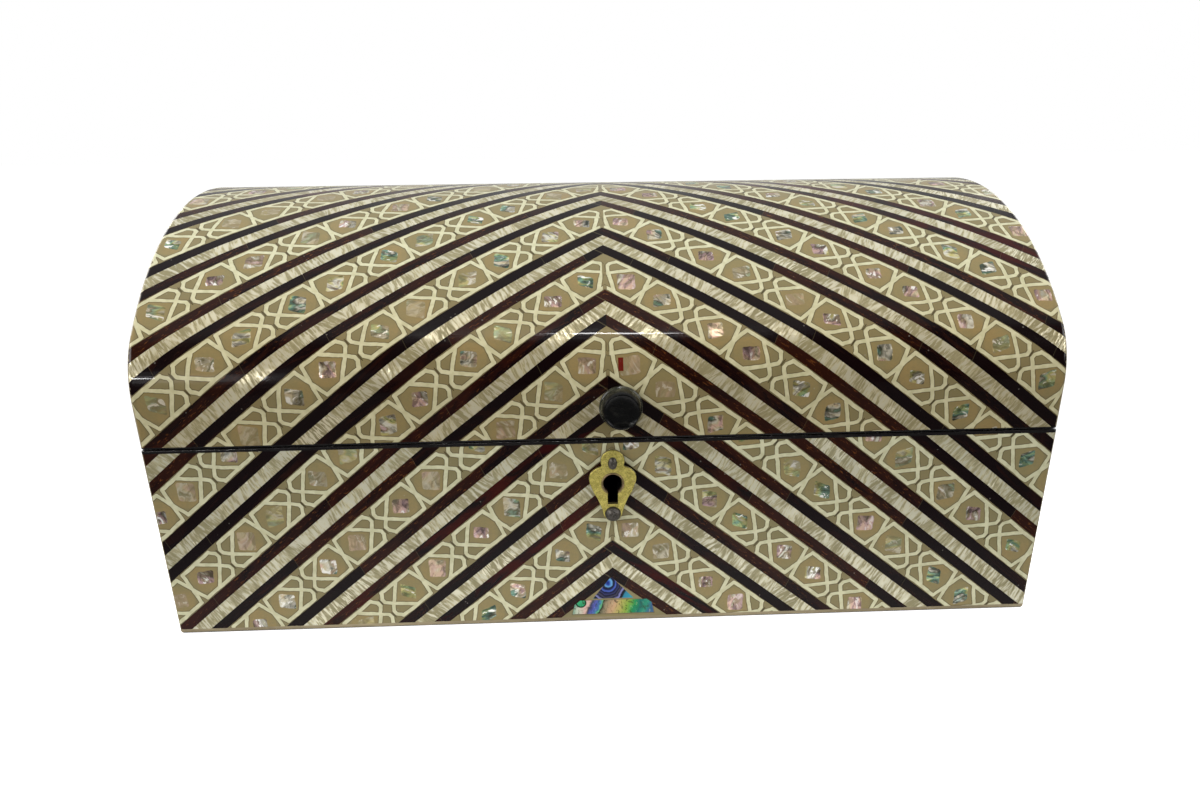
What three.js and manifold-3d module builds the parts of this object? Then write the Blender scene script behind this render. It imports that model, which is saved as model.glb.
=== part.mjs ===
// A small domed casket: an inlaid wooden box with a hollow lid that rests on its rim and lifts off.
// Millimetres. +Z is up, +X runs along the front and -Y points out of the front.
// The origin is the middle of the underside.
import * as THREE from 'three';
import { mergeVertices } from 'three/addons/utils/BufferGeometryUtils.js';
import Module from 'manifold-3d';

const wasm = await Module();
wasm.setup();

// Driving dimensions
const gap = 0.3; // clearance between pieces that touch
const through = 2; // how far a cut runs past the face it opens

const box = {
  width: 250,
  depth: 174,
  seamHeight: 56, // middle of the narrow gap between the box's rim and the lid's
  wall: 6,
  floor: 5,
  cornerRadius: 2,
  footRadius: 1.2,
};

const lid = {
  wallHeight: 12, // upright part of the front and back walls
  shoulderRadius: 24,
  shoulderAngle: Math.PI / 4, // where the shoulder runs into the flatter crown
  endRadius: 2,
};

const escutcheon = {
  x: 1.4, // fixed a little to the right of the middle
  height: 43, // of the keyhole's round part above the floor it stands on
  thickness: 1.1,
  edgeBevel: 0.35,
  topLobe: { x: 0, z: 6.9, radius: 3.4 },
  shoulder: { x: 3.95, z: 2, radius: 2.6 },
  tip: { x: 0, z: -8.8, radius: 2.9 },
};

const keyhole = { radius: 2.5, slotWidth: 2.7, slotBottom: -5.8 };

const nails = {
  top: { z: 6.2, headRadius: 1.6, headHeight: 0.8 },
  bottom: { z: -9, headRadius: 2.4, headHeight: 1.5 },
  shankRadius: 0.6,
  shankLength: 4.5,
};

const knob = {
  x: 3.75,
  height: 65.1,
  radius: 5.9,
  faceRadius: 4.7,
  length: 5.6,
  spigotRadius: 1.8,
  spigotLength: 4,
};

// Values that follow from them
const halfWidth = box.width / 2;
const halfDepth = box.depth / 2;
const baseRim = box.seamHeight - gap / 2;
const lidRim = box.seamHeight + gap / 2;

const finishes = {
  inlaidWood: { color: 0x8d7f60, roughness: 0.25, metalness: 0 },
  blackWood: { color: 0x14120f, roughness: 0.3, metalness: 0 },
  brass: { color: 0xb29a4a, roughness: 0.4, metalness: 1 },
  iron: { color: 0x45413f, roughness: 0.5, metalness: 1 },
};

// Solids from three.js geometry, and back
function solidOf(geometry) {
  const bare = geometry.clone();
  bare.deleteAttribute('normal');
  bare.deleteAttribute('uv');
  const merged = mergeVertices(bare, 1e-4);
  return new wasm.Manifold(new wasm.Mesh({
    numProp: 3,
    vertProperties: new Float32Array(merged.attributes.position.array),
    triVerts: new Uint32Array(merged.index.array),
  }));
}

function geometryOf(solid) {
  const mesh = solid.getMesh();
  const geometry = new THREE.BufferGeometry();
  geometry.setAttribute('position', new THREE.BufferAttribute(mesh.vertProperties, 3));
  geometry.setIndex(new THREE.BufferAttribute(mesh.triVerts, 1));
  geometry.computeVertexNormals();
  return geometry;
}

function cutAll(solid, cutters) {
  return cutters.reduce((rest, cutter) => rest.subtract(cutter), solid);
}

function joinAll(solids) {
  return solids.reduce((whole, piece) => whole.add(piece));
}

// Axes that a drawn outline lies on, and the way it is extruded
const facing = {
  up: new THREE.Matrix4(),
  front: new THREE.Matrix4().makeBasis(
    new THREE.Vector3(1, 0, 0),
    new THREE.Vector3(0, 0, 1),
    new THREE.Vector3(0, -1, 0),
  ),
  side: new THREE.Matrix4().makeBasis(
    new THREE.Vector3(0, 1, 0),
    new THREE.Vector3(0, 0, 1),
    new THREE.Vector3(1, 0, 0),
  ),
};

// Extrudes an outline by length, rounding both ends over by bevel
function extrude(outline, length, axes, bevel = 0, curveSegments = 12, bevelSegments = 3) {
  const geometry = new THREE.ExtrudeGeometry(outline, {
    depth: length - 2 * bevel,
    bevelEnabled: bevel > 0,
    bevelThickness: bevel,
    bevelSize: bevel,
    bevelOffset: -bevel,
    bevelSegments,
    curveSegments,
  });
  geometry.translate(0, 0, bevel);
  geometry.applyMatrix4(axes);
  return solidOf(geometry);
}

function roundedRectangle(width, depth, radius) {
  const x = width / 2;
  const y = depth / 2;
  const shape = new THREE.Shape();
  shape.moveTo(-x + radius, -y);
  shape.absarc(x - radius, -y + radius, radius, -Math.PI / 2, 0);
  shape.absarc(x - radius, y - radius, radius, 0, Math.PI / 2);
  shape.absarc(-x + radius, y - radius, radius, Math.PI / 2, Math.PI);
  shape.absarc(-x + radius, -y + radius, radius, Math.PI, 1.5 * Math.PI);
  return shape;
}

function block(low, high) {
  const geometry = new THREE.BoxGeometry(high[0] - low[0], high[1] - low[1], high[2] - low[2]);
  geometry.translate((low[0] + high[0]) / 2, (low[1] + high[1]) / 2, (low[2] + high[2]) / 2);
  return solidOf(geometry);
}

// Turns a profile of [radius, distance] points about an axis that leaves the front wall
function turnedOnFront(profile, x, y, z, sides) {
  const points = profile.map(([radius, distance]) => new THREE.Vector2(radius, distance));
  const geometry = new THREE.LatheGeometry(points, sides);
  geometry.rotateX(Math.PI);
  geometry.translate(x, y, z);
  return solidOf(geometry);
}

// The lid's end outline. Shrinking by inset gives the hollow inside the walls.
function domeOutline(inset) {
  const angle = lid.shoulderAngle;
  const shoulder = lid.shoulderRadius - inset;
  const springing = box.seamHeight + lid.wallHeight;
  const shoulderY = halfDepth - lid.shoulderRadius;
  const crownRadius = lid.shoulderRadius + shoulderY / Math.cos(angle);
  const crownZ = springing - (crownRadius - lid.shoulderRadius) * Math.sin(angle);
  const below = box.seamHeight - 10;
  const shape = new THREE.Shape();
  shape.moveTo(-halfDepth + inset, below);
  shape.lineTo(halfDepth - inset, below);
  shape.absarc(shoulderY, springing, shoulder, 0, angle);
  shape.absarc(0, crownZ, crownRadius - inset, angle, Math.PI - angle);
  shape.absarc(-shoulderY, springing, shoulder, Math.PI - angle, Math.PI);
  return shape;
}

function keyholeOutline() {
  const { radius, slotWidth, slotBottom } = keyhole;
  const half = slotWidth / 2;
  const spread = Math.asin(half / radius);
  const shape = new THREE.Shape();
  shape.moveTo(-half, slotBottom);
  shape.lineTo(half, slotBottom);
  shape.absarc(0, 0, radius, -Math.PI / 2 + spread, 1.5 * Math.PI - spread);
  return shape;
}

// Outline of two circles joined by the straight lines that touch both
function taperedOutline(a, b) {
  const along = Math.atan2(b.z - a.z, b.x - a.x);
  const spread = Math.acos((a.radius - b.radius) / Math.hypot(b.x - a.x, b.z - a.z));
  const shape = new THREE.Shape();
  shape.absarc(a.x, a.z, a.radius, along + spread, along - spread + 2 * Math.PI);
  shape.absarc(b.x, b.z, b.radius, along - spread, along + spread);
  return shape;
}

function keyholeCutter(front, back) {
  const cutter = extrude(keyholeOutline(), back - front, facing.front);
  return cutter.translate(escutcheon.x, back, escutcheon.height);
}

function nailHole(nail, front, back) {
  const radius = nails.shankRadius + gap;
  const profile = [[0, 0], [radius, 0], [radius, back - front], [0, back - front]];
  return turnedOnFront(profile, escutcheon.x, back, escutcheon.height + nail.z, 12);
}

function baseBox() {
  const outer = extrude(
    roundedRectangle(box.width, box.depth, box.cornerRadius),
    box.seamHeight + 10,
    facing.up,
    box.footRadius,
    5,
  );
  const above = block([-box.width, -box.depth, baseRim], [box.width, box.depth, box.seamHeight + 20]);
  const hollow = block(
    [-halfWidth + box.wall, -halfDepth + box.wall, box.floor],
    [halfWidth - box.wall, halfDepth - box.wall, box.seamHeight + through],
  );
  const front = -halfDepth - through;
  const inside = -halfDepth + box.wall + through;
  const nailEnd = -halfDepth + nails.shankLength;
  return cutAll(outer, [
    above,
    hollow,
    keyholeCutter(front, inside),
    nailHole(nails.top, front, nailEnd),
    nailHole(nails.bottom, front, nailEnd),
  ]);
}

function lidShell() {
  const outer = extrude(domeOutline(0), box.width, facing.side, lid.endRadius, 16)
    .translate(-halfWidth, 0, 0);
  const hollowLength = box.width - 2 * box.wall;
  const hollow = extrude(domeOutline(box.wall), hollowLength, facing.side, 0, 16)
    .translate(-hollowLength / 2, 0, 0);
  const below = block([-box.width, -box.depth, 0], [box.width, box.depth, lidRim]);
  const spigotHole = knob.spigotRadius + gap;
  const holeDepth = knob.spigotLength + gap;
  const profile = [[0, -holeDepth], [spigotHole, -holeDepth], [spigotHole, through], [0, through]];
  const spigotBore = turnedOnFront(profile, knob.x, -halfDepth, knob.height, 24);
  return cutAll(outer, [below, hollow, spigotBore]);
}

// A turned pull: a full rim at the wall, a waistless side and a slightly dished face
function knobSolid() {
  const { radius, faceRadius, length, spigotRadius, spigotLength } = knob;
  const profile = [
    [0, -spigotLength],
    [spigotRadius, -spigotLength],
    [spigotRadius, gap],
    [radius - 0.5, gap],
    [radius - 0.1, gap + 0.4],
    [radius, gap + 1],
    [radius - 0.1, length * 0.5],
    [radius - 0.4, length * 0.75],
    [radius - 0.8, length * 0.93],
    [faceRadius, length],
    [faceRadius - 0.5, length - 0.25],
    [faceRadius * 0.5, length - 0.4],
    [0, length - 0.45],
  ];
  return turnedOnFront(profile, knob.x, -halfDepth, knob.height, 40);
}

// The keyhole plate: a nail lobe on top, two shoulders, and sides drawn in to the tip
function escutcheonSolid() {
  const { topLobe, shoulder, tip, thickness, edgeBevel } = escutcheon;
  const leftShoulder = { ...shoulder, x: -shoulder.x };
  const outlines = [
    taperedOutline(shoulder, tip),
    taperedOutline(leftShoulder, tip),
    taperedOutline(leftShoulder, shoulder),
    taperedOutline(topLobe, { x: 0, z: 0, radius: topLobe.radius * 0.9 }),
  ];
  const plate = joinAll(outlines.map((outline) => (
    extrude(outline, 2 * thickness, facing.front, edgeBevel, 7, 1)
  )));
  const back = -halfDepth - gap;
  const placed = plate.translate(escutcheon.x, back + thickness, escutcheon.height);
  const inWall = block([-halfDepth, back, 0], [halfDepth, 0, box.seamHeight]);
  const front = back - thickness - through;
  return cutAll(placed, [
    inWall,
    keyholeCutter(front, back + through),
    nailHole(nails.top, front, back + through),
    nailHole(nails.bottom, front, back + through),
  ]);
}

// A round-headed nail through the escutcheon into the front wall
function nailSolid(nail) {
  const { shankRadius, shankLength } = nails;
  const seat = 2 * gap + escutcheon.thickness;
  const steps = 4;
  const profile = [[0, gap - shankLength], [shankRadius, gap - shankLength], [shankRadius, seat]];
  for (let step = 0; step < steps; step += 1) {
    const angle = (step / steps) * (Math.PI / 2);
    profile.push([nail.headRadius * Math.cos(angle), seat + nail.headHeight * Math.sin(angle)]);
  }
  profile.push([0, seat + nail.headHeight]);
  return turnedOnFront(profile, escutcheon.x, -halfDepth, escutcheon.height + nail.z, 16);
}

const casket = new THREE.Group();

function addPiece(name, solid, finish) {
  const mesh = new THREE.Mesh(geometryOf(solid), new THREE.MeshStandardMaterial(finish));
  mesh.name = name;
  casket.add(mesh);
}

addPiece('base_box', baseBox(), finishes.inlaidWood);
addPiece('lid_shell', lidShell(), finishes.inlaidWood);
addPiece('knob', knobSolid(), finishes.blackWood);
addPiece('escutcheon', escutcheonSolid(), finishes.brass);
addPiece('escutcheon_nail_top', nailSolid(nails.top), finishes.iron);
addPiece('escutcheon_nail_bottom', nailSolid(nails.bottom), finishes.iron);

export default casket;
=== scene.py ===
from math import asin, atan, atan2, cos, degrees, hypot, pi, radians, sin

import bmesh
import bpy
from mathutils import Matrix, Vector


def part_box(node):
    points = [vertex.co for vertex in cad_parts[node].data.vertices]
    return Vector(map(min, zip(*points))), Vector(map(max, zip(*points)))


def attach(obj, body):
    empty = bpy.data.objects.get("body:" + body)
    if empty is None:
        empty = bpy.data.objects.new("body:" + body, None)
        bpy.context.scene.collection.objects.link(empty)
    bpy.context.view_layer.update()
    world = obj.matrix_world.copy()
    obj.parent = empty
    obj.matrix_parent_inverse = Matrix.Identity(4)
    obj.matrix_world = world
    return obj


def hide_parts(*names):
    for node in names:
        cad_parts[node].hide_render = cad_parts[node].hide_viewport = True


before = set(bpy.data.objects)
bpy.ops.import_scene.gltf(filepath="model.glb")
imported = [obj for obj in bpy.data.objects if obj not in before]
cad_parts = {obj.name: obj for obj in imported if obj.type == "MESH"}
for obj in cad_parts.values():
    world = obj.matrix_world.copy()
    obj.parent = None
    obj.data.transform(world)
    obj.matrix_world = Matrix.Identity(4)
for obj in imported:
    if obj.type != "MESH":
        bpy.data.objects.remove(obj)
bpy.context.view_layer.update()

mm = 0.001


# modelling helpers

def putDown():
    # leaves edit mode with nothing selected, so the next operator acts on its own piece only
    if bpy.context.mode != "OBJECT":
        bpy.ops.object.mode_set(mode="OBJECT")
    bpy.ops.object.select_all(action="DESELECT")


def pickUp(piece):
    putDown()
    piece.select_set(True)
    bpy.context.view_layer.objects.active = piece


def named(name):
    piece = bpy.context.object
    piece.name = name
    piece.data.name = name
    return piece


def editFresh(piece):
    # edit mode with nothing selected
    pickUp(piece)
    bpy.ops.object.mode_set(mode="EDIT")
    bpy.ops.mesh.select_all(action="DESELECT")


def selectEdges(piece, test):
    # test gets the two ends of an edge
    bpy.ops.mesh.select_mode(type="EDGE")
    shape = bmesh.from_edit_mesh(piece.data)
    for edge in shape.edges:
        edge.select_set(test(edge.verts[0].co, edge.verts[1].co))
    shape.select_flush_mode()
    bmesh.update_edit_mesh(piece.data)


def selectFaces(piece, test):
    # test gets a face's centre and its normal
    bpy.ops.mesh.select_mode(type="FACE")
    shape = bmesh.from_edit_mesh(piece.data)
    shape.normal_update()
    for face in shape.faces:
        face.select_set(test(face.calc_center_median(), face.normal))
    shape.select_flush_mode()
    bmesh.update_edit_mesh(piece.data)


def near(first, second, slack=0.02 * mm):
    return abs(first - second) < slack


def applyModifier(piece, kind, **settings):
    pickUp(piece)
    modifier = piece.modifiers.new(kind.title(), kind)
    for name, value in settings.items():
        setattr(modifier, name, value)
    bpy.ops.object.modifier_apply(modifier=modifier.name)


def cutAway(piece, cutter, keepCutter=False):
    applyModifier(piece, "BOOLEAN", object=cutter, operation="DIFFERENCE", solver="EXACT")
    if not keepCutter:
        bpy.data.objects.remove(cutter, do_unlink=True)


def joinOn(piece, other):
    applyModifier(piece, "BOOLEAN", object=other, operation="UNION", solver="EXACT")
    bpy.data.objects.remove(other, do_unlink=True)


def blockBetween(name, low, high):
    putDown()
    middle = (Vector(low) + Vector(high)) / 2
    bpy.ops.mesh.primitive_cube_add(size=1, location=middle, scale=Vector(high) - Vector(low))
    bpy.ops.object.transform_apply(location=True, rotation=True, scale=True)
    return named(name)


def rodTowardsFront(name, radius, x, z, back, front, sides=48):
    # a round bar whose ends face the front and the back
    putDown()
    bpy.ops.mesh.primitive_cylinder_add(
        vertices=sides, radius=radius, depth=back - front,
        location=(x, (front + back) / 2, z), rotation=(pi / 2, 0, 0))
    bpy.ops.object.transform_apply(location=True, rotation=True, scale=True)
    return named(name)


def smoothOff(piece, angle=32):
    pickUp(piece)
    bpy.ops.object.shade_smooth_by_angle(angle=radians(angle))
    applyModifier(piece, "WEIGHTED_NORMAL", keep_sharp=True, weight=60)


# node helpers

def putNode(tree, kind, **settings):
    node = tree.nodes.new(kind)
    count = len(tree.nodes)
    node.location = (count % 14 * 190, -(count // 14) * 260)
    for name, value in settings.items():
        setattr(node, name, value)
    return node


def feed(tree, socket, value):
    # links an output to the socket, or sets the socket to a plain value
    if isinstance(value, bpy.types.NodeSocket):
        tree.links.new(value, socket)
    elif isinstance(value, (tuple, list)) and len(value) == 3 and socket.type == "RGBA":
        socket.default_value = (*value, 1)
    else:
        socket.default_value = value


def calc(tree, operation, first, second=0.0, third=0.0):
    node = putNode(tree, "ShaderNodeMath", operation=operation)
    for socket, value in zip(node.inputs, (first, second, third)):
        feed(tree, socket, value)
    return node.outputs[0]


def vec(tree, operation, first, second=(0, 0, 0), scale=1.0):
    node = putNode(tree, "ShaderNodeVectorMath", operation=operation)
    feed(tree, node.inputs[0], first)
    if operation == "SCALE":
        feed(tree, node.inputs["Scale"], scale)
    else:
        feed(tree, node.inputs[1], second)
    return node.outputs["Value" if operation in ("LENGTH", "DOT_PRODUCT") else "Vector"]


def pair(tree, first, second, third=0.0):
    node = putNode(tree, "ShaderNodeCombineXYZ")
    for socket, value in zip(node.inputs, (first, second, third)):
        feed(tree, socket, value)
    return node.outputs[0]


def ease(tree, value, low, high, start=0.0, end=1.0):
    # runs smoothly from start at low to end at high
    node = putNode(tree, "ShaderNodeMapRange", interpolation_type="SMOOTHSTEP")
    for socket, number in zip(node.inputs, (value, low, high, start, end)):
        feed(tree, socket, number)
    return node.outputs[0]


def between(tree, value, low, high, soft=0.05):
    rise = ease(tree, value, low - soft, low + soft)
    fall = ease(tree, value, high - soft, high + soft, 1.0, 0.0)
    return calc(tree, "MULTIPLY", rise, fall)


def mixed(tree, factor, first, second, how="MIX"):
    node = putNode(tree, "ShaderNodeMix", data_type="RGBA", blend_type=how)
    feed(tree, node.inputs["Factor"], factor)
    feed(tree, node.inputs[6], first)
    feed(tree, node.inputs[7], second)
    return node.outputs[2]


def swing(tree, factor, first, second):
    # a number between two numbers
    node = putNode(tree, "ShaderNodeMix", data_type="FLOAT")
    feed(tree, node.inputs["Factor"], factor)
    feed(tree, node.inputs[2], first)
    feed(tree, node.inputs[3], second)
    return node.outputs[0]


def noise(tree, place, scale, detail=2.0, roughness=0.5, distortion=0.0):
    node = putNode(tree, "ShaderNodeTexNoise")
    feed(tree, node.inputs["Vector"], place)
    for name, value in (("Scale", scale), ("Detail", detail), ("Roughness", roughness),
                        ("Distortion", distortion)):
        feed(tree, node.inputs[name], value)
    return node.outputs["Fac"]


def chance(tree, place):
    # the same random number and colour wherever place is the same
    node = putNode(tree, "ShaderNodeTexWhiteNoise", noise_dimensions="3D")
    feed(tree, node.inputs["Vector"], place)
    return node.outputs["Value"], node.outputs["Color"]


def ramp(tree, factor, stops):
    node = putNode(tree, "ShaderNodeValToRGB")
    feed(tree, node.inputs[0], factor)
    elements = node.color_ramp.elements
    elements[0].position, elements[0].color = stops[0][0], (*stops[0][1], 1)
    elements[1].position, elements[1].color = stops[-1][0], (*stops[-1][1], 1)
    for position, colour in stops[1:-1]:
        elements.new(position).color = (*colour, 1)
    return node.outputs["Color"]


def newGroup(name, inputs, outputs):
    tree = bpy.data.node_groups.new(name, "ShaderNodeTree")
    kinds = {"number": "NodeSocketFloat", "vector": "NodeSocketVector", "colour": "NodeSocketColor"}
    for label, kind in inputs.items():
        tree.interface.new_socket(name=label, in_out="INPUT", socket_type=kinds[kind])
    for label, kind in outputs.items():
        tree.interface.new_socket(name=label, in_out="OUTPUT", socket_type=kinds[kind])
    given = tree.nodes.new("NodeGroupInput").outputs
    result = tree.nodes.new("NodeGroupOutput").inputs
    return tree, given, result


def useGroup(tree, group, values):
    node = putNode(tree, "ShaderNodeGroup", node_tree=group)
    for label, value in values.items():
        feed(tree, node.inputs[label], value)
    return node.outputs


# the inlay's layout, in millimetres

layout = {
    "period": 26.25,        # height from one set of strips to the next
    "pearlLow": 3.77,       # a set: dark strip, pearl strip, dark strip, then the latticed band
    "pearlHigh": 8.33,
    "bandLow": 12.28,
    "unevenness": 0.4,
    # how the strips were laid on each half: their fall per millimetre and height at the middle,
    # how they bend towards the ends, and how they stray as they climb over the lid; a stretch
    # below one makes the lattice's repeats longer
    "base": {
        "right": {"slope": 0.771, "lift": -14.55, "bend": 0.5, "climb": 0.0, "sag": 0.0, "twist": 0.0},
        "left": {"slope": 0.798, "lift": -12.55, "bend": 1.0, "climb": 0.0, "sag": 0.0, "twist": 0.0},
    },
    "lid": {
        "right": {"slope": 0.720, "lift": -9.02, "bend": 2.6, "climb": 0.9, "sag": -1.8, "twist": -0.25,
                  "stretch": 0.95},
        "left": {"slope": 0.772, "lift": -8.41, "bend": -0.5, "climb": 1.0, "sag": -1.2, "twist": -1.9},
    },
    "strayFrom": 75,        # height up the front where straying starts, and its scale
    "strayScale": 50,
    "slope": 0.77,
}
layout["tilt"] = atan(layout["slope"])
layout["bandMiddle"] = (layout["bandLow"] + layout["period"]) / 2

lattice = {
    "period": 28.0,         # length of one repeat along the band
    "start": 12.6,          # first steep crossing, from the middle line
    "strapHalf": 0.53,
    "middleGap": 0.5,       # half of the plain line down the middle
    "cell": 5.65,           # a cell's centre from the steep crossing
    # straps of a quarter repeat: (along, across) from the steep crossing, mirrored both ways
    "straps": (
        ((1.15, 4.78), (12.0, 4.78)),
        ((0, 0), (1.15, 4.65)),
        ((6.4, 4.65), (11.36, 0)),
        ((11.36, 0), (13.1, 1.9)),
        ((13.1, 1.9), (13.1, 3.1)),
        ((13.1, 3.1), (11.9, 4.65)),
    ),
}

shades = {
    "ground": (0.235, 0.195, 0.092),
    "groundWarm": (0.275, 0.205, 0.090),
    "groundGrey": (0.19, 0.167, 0.088),
    "bone": (0.585, 0.570, 0.385),
    "boneDull": (0.49, 0.475, 0.305),
    # dark joints and dark lines, also used for the painted shade beside the straps
    "outline": (0.10, 0.08, 0.045),
    "plum": (0.0052, 0.0022, 0.0026),
    "tortoise": (0.022, 0.006, 0.0035),
    "amber": (0.15, 0.050, 0.012),
    "crimson": (0.050, 0.002, 0.001),
    "pearl": (0.47, 0.43, 0.27),
    "pearlStripeAndGlint": (0.78, 0.75, 0.58),
    "pearlDim": (0.24, 0.215, 0.12),
    "blackEdge": (0.006, 0.005, 0.005),
}


def makeChevrons(name, hands):
    # finds where a point of the flat pattern lies: which set, how high in it, how far along
    tree, given, result = newGroup(
        name, {"Across": "number", "Up": "number"},
        {"Strip": "number", "Row": "number", "Side": "number", "Along": "number",
         "From Middle": "number", "Away": "number", "Joint": "number"})
    across, up = given["Across"], given["Up"]
    waver = noise(tree, pair(tree, across, up), 0.018, 1.0)
    lift = calc(tree, "MULTIPLY_ADD", waver, layout["unevenness"], -layout["unevenness"] / 2)
    height = calc(tree, "ADD", up, lift)
    stray = calc(tree, "DIVIDE", calc(tree, "SUBTRACT", up, layout["strayFrom"]), layout["strayScale"])
    straySquared = calc(tree, "MULTIPLY", stray, stray)
    outward = calc(tree, "MULTIPLY", across, 0.01)
    outwardSquared = calc(tree, "MULTIPLY", outward, outward)
    strayOutward = calc(tree, "MULTIPLY", stray, outward)
    rises = []
    for sign, hand in ((1, hands["right"]), (-1, hands["left"])):
        rise = calc(tree, "MULTIPLY_ADD", across, sign * hand["slope"], height)
        for factor, amount in ((outwardSquared, hand["bend"]), (stray, hand["climb"]),
                               (straySquared, hand["sag"]), (strayOutward, sign * hand["twist"])):
            rise = calc(tree, "MULTIPLY_ADD", factor, amount, rise)
        rises.append(calc(tree, "ADD", rise, hand["lift"]))
    right, left = rises
    onRight = calc(tree, "GREATER_THAN", right, left)
    side = calc(tree, "MULTIPLY_ADD", onRight, 2.0, -1.0)
    rise = calc(tree, "MAXIMUM", right, left)
    away = calc(tree, "DIVIDE", calc(tree, "ABSOLUTE", calc(tree, "SUBTRACT", right, left)),
                hands["right"]["slope"] + hands["left"]["slope"])
    row = calc(tree, "FLOOR", calc(tree, "DIVIDE", rise, layout["period"]))
    rowLow = calc(tree, "MULTIPLY", row, layout["period"])
    strip = calc(tree, "SUBTRACT", rise, rowLow)
    offMiddle = calc(tree, "SUBTRACT", strip, layout["bandMiddle"])
    middle = calc(tree, "MULTIPLY", offMiddle, cos(layout["tilt"]))
    along = calc(tree, "SUBTRACT", calc(tree, "DIVIDE", away, cos(layout["tilt"])),
                 calc(tree, "MULTIPLY", offMiddle, sin(layout["tilt"])))
    stretch = swing(tree, onRight, hands["left"].get("stretch", 1.0), hands["right"].get("stretch", 1.0))
    along = calc(tree, "MULTIPLY", along, stretch)
    # the right strips run through at the peak and the left ones butt against them
    rightStrip = calc(tree, "SUBTRACT", right, rowLow)
    isPearl = calc(tree, "GREATER_THAN", strip, layout["pearlLow"])
    isUpper = calc(tree, "GREATER_THAN", strip, layout["pearlHigh"])
    lowEdge = calc(tree, "ADD", calc(tree, "MULTIPLY", isPearl, layout["pearlLow"]),
                   calc(tree, "MULTIPLY", isUpper, layout["pearlHigh"] - layout["pearlLow"]))
    off = calc(tree, "ABSOLUTE", calc(tree, "SUBTRACT", rightStrip, lowEdge))
    line = ease(tree, off, 0.1, 0.28, 1.0, 0.0)
    joint = calc(tree, "MULTIPLY", line, calc(tree, "SUBTRACT", 1.0, onRight))
    for label, value in (("Strip", strip), ("Row", row), ("Side", side), ("Along", along),
                         ("From Middle", middle), ("Away", away), ("Joint", joint)):
        feed(tree, result[label], value)
    return tree


def makeStrapLine():
    # distance from a point to one straight strap
    tree, given, result = newGroup(
        "strapLine",
        {"Place": "vector", "Start": "vector", "Direction": "vector", "Length": "number"},
        {"Distance": "number"})
    offset = vec(tree, "SUBTRACT", given["Place"], given["Start"])
    run = vec(tree, "DOT_PRODUCT", offset, given["Direction"])
    run = calc(tree, "MINIMUM", calc(tree, "MAXIMUM", run, 0.0), given["Length"])
    nearest = vec(tree, "SCALE", given["Direction"], scale=run)
    feed(tree, result["Distance"], vec(tree, "LENGTH", vec(tree, "SUBTRACT", offset, nearest)))
    return tree


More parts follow.
